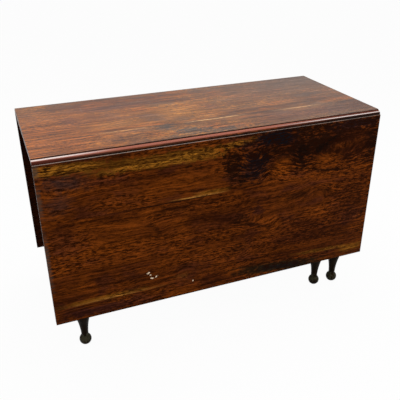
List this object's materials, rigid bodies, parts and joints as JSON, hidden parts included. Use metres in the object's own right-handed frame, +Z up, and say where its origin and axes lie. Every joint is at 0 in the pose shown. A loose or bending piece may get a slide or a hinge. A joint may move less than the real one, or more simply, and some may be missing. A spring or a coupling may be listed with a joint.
{
  "type": "drop-leaf table",
  "caption": "Drop-leaf table with a narrow fixed top, deep leaves hinged on rule joints, turned legs on ball feet, and gate legs on wooden knuckles that swing out to hold the leaves up.",
  "frame": {"origin": "middle of the table on the floor it stands on", "axes": "+X along the table to the right of the picture, +Y across it away from the front leaf, +Z up"},
  "size_m": [1.2, 0.538, 0.727],
  "materials": {
    "top_wood": "worn french polish, hazy",
    "leaf_wood": "french polish",
    "leg_wood": "dark stained, polished",
    "frame_wood": "bare, darkened with age",
    "peg_wood": "bare",
    "hinge_iron": "wrought iron, dull",
    "screw_iron": "aged steel"
  },
  "bodies": {
    "frame": {"top_front_board": "top_wood", "top_back_board": "top_wood", "cross_rail": "frame_wood", "end_rail_left": "frame_wood", "end_rail_right": "frame_wood", "glue_blocks": "frame_wood", "glue_block_screws": "screw_iron", "hinge_rail_screws": "screw_iron", "rail_pegs": "peg_wood", "top_flap_screws": "screw_iron", "leg_front_left": "leg_wood", "leg_front_right": "leg_wood", "side_rail_front": "frame_wood", "hinge_rail_front": "frame_wood", "knuckle_pin_front": "hinge_iron", "top_flap_front_1": "hinge_iron", "hinge_pin_front_1": "hinge_iron", "top_flap_front_2": "hinge_iron", "hinge_pin_front_2": "hinge_iron", "top_flap_front_3": "hinge_iron", "hinge_pin_front_3": "hinge_iron", "leg_back_left": "leg_wood", "leg_back_right": "leg_wood", "side_rail_back": "frame_wood", "hinge_rail_back": "frame_wood", "knuckle_pin_back": "hinge_iron", "top_flap_back_1": "hinge_iron", "hinge_pin_back_1": "hinge_iron", "top_flap_back_2": "hinge_iron", "hinge_pin_back_2": "hinge_iron", "top_flap_back_3": "hinge_iron", "hinge_pin_back_3": "hinge_iron"},
    "leaf_front": {"leaf_upper_board_front": "leaf_wood", "leaf_lower_board_front": "leaf_wood", "leaf_stop_front": "frame_wood", "leaf_flap_screws_front": "screw_iron", "leaf_flap_front_1": "hinge_iron", "leaf_flap_front_2": "hinge_iron", "leaf_flap_front_3": "hinge_iron"},
    "gate_front": {"gate_leg_front": "leg_wood", "fly_rail_front": "frame_wood", "gate_pegs_front": "peg_wood"},
    "leaf_back": {"leaf_upper_board_back": "leaf_wood", "leaf_lower_board_back": "leaf_wood", "leaf_stop_back": "frame_wood", "leaf_flap_screws_back": "screw_iron", "leaf_flap_back_1": "hinge_iron", "leaf_flap_back_2": "hinge_iron", "leaf_flap_back_3": "hinge_iron"},
    "gate_back": {"gate_leg_back": "leg_wood", "fly_rail_back": "frame_wood", "gate_pegs_back": "peg_wood"}
  },
  "joints": [
    {"name": "leaf_front_lift", "type": "hinge", "parent": "frame", "child": "leaf_front", "pos_m": [0, -0.253, 0.711], "axis": [-1, 0, 0], "range_deg": [0, 90]},
    {"name": "leaf_back_lift", "type": "hinge", "parent": "frame", "child": "leaf_back", "pos_m": [0, 0.253, 0.711], "axis": [1, 0, 0], "range_deg": [0, 90]},
    {"name": "gate_front_swing", "type": "hinge", "parent": "frame", "child": "gate_front", "pos_m": [0.028, -0.231, 0.648], "axis": [0, 0, -1], "range_deg": [0, 1]},
    {"name": "gate_back_swing", "type": "hinge", "parent": "frame", "child": "gate_back", "pos_m": [-0.028, 0.231, 0.648], "axis": [0, 0, -1], "range_deg": [0, 1]}
  ]
}
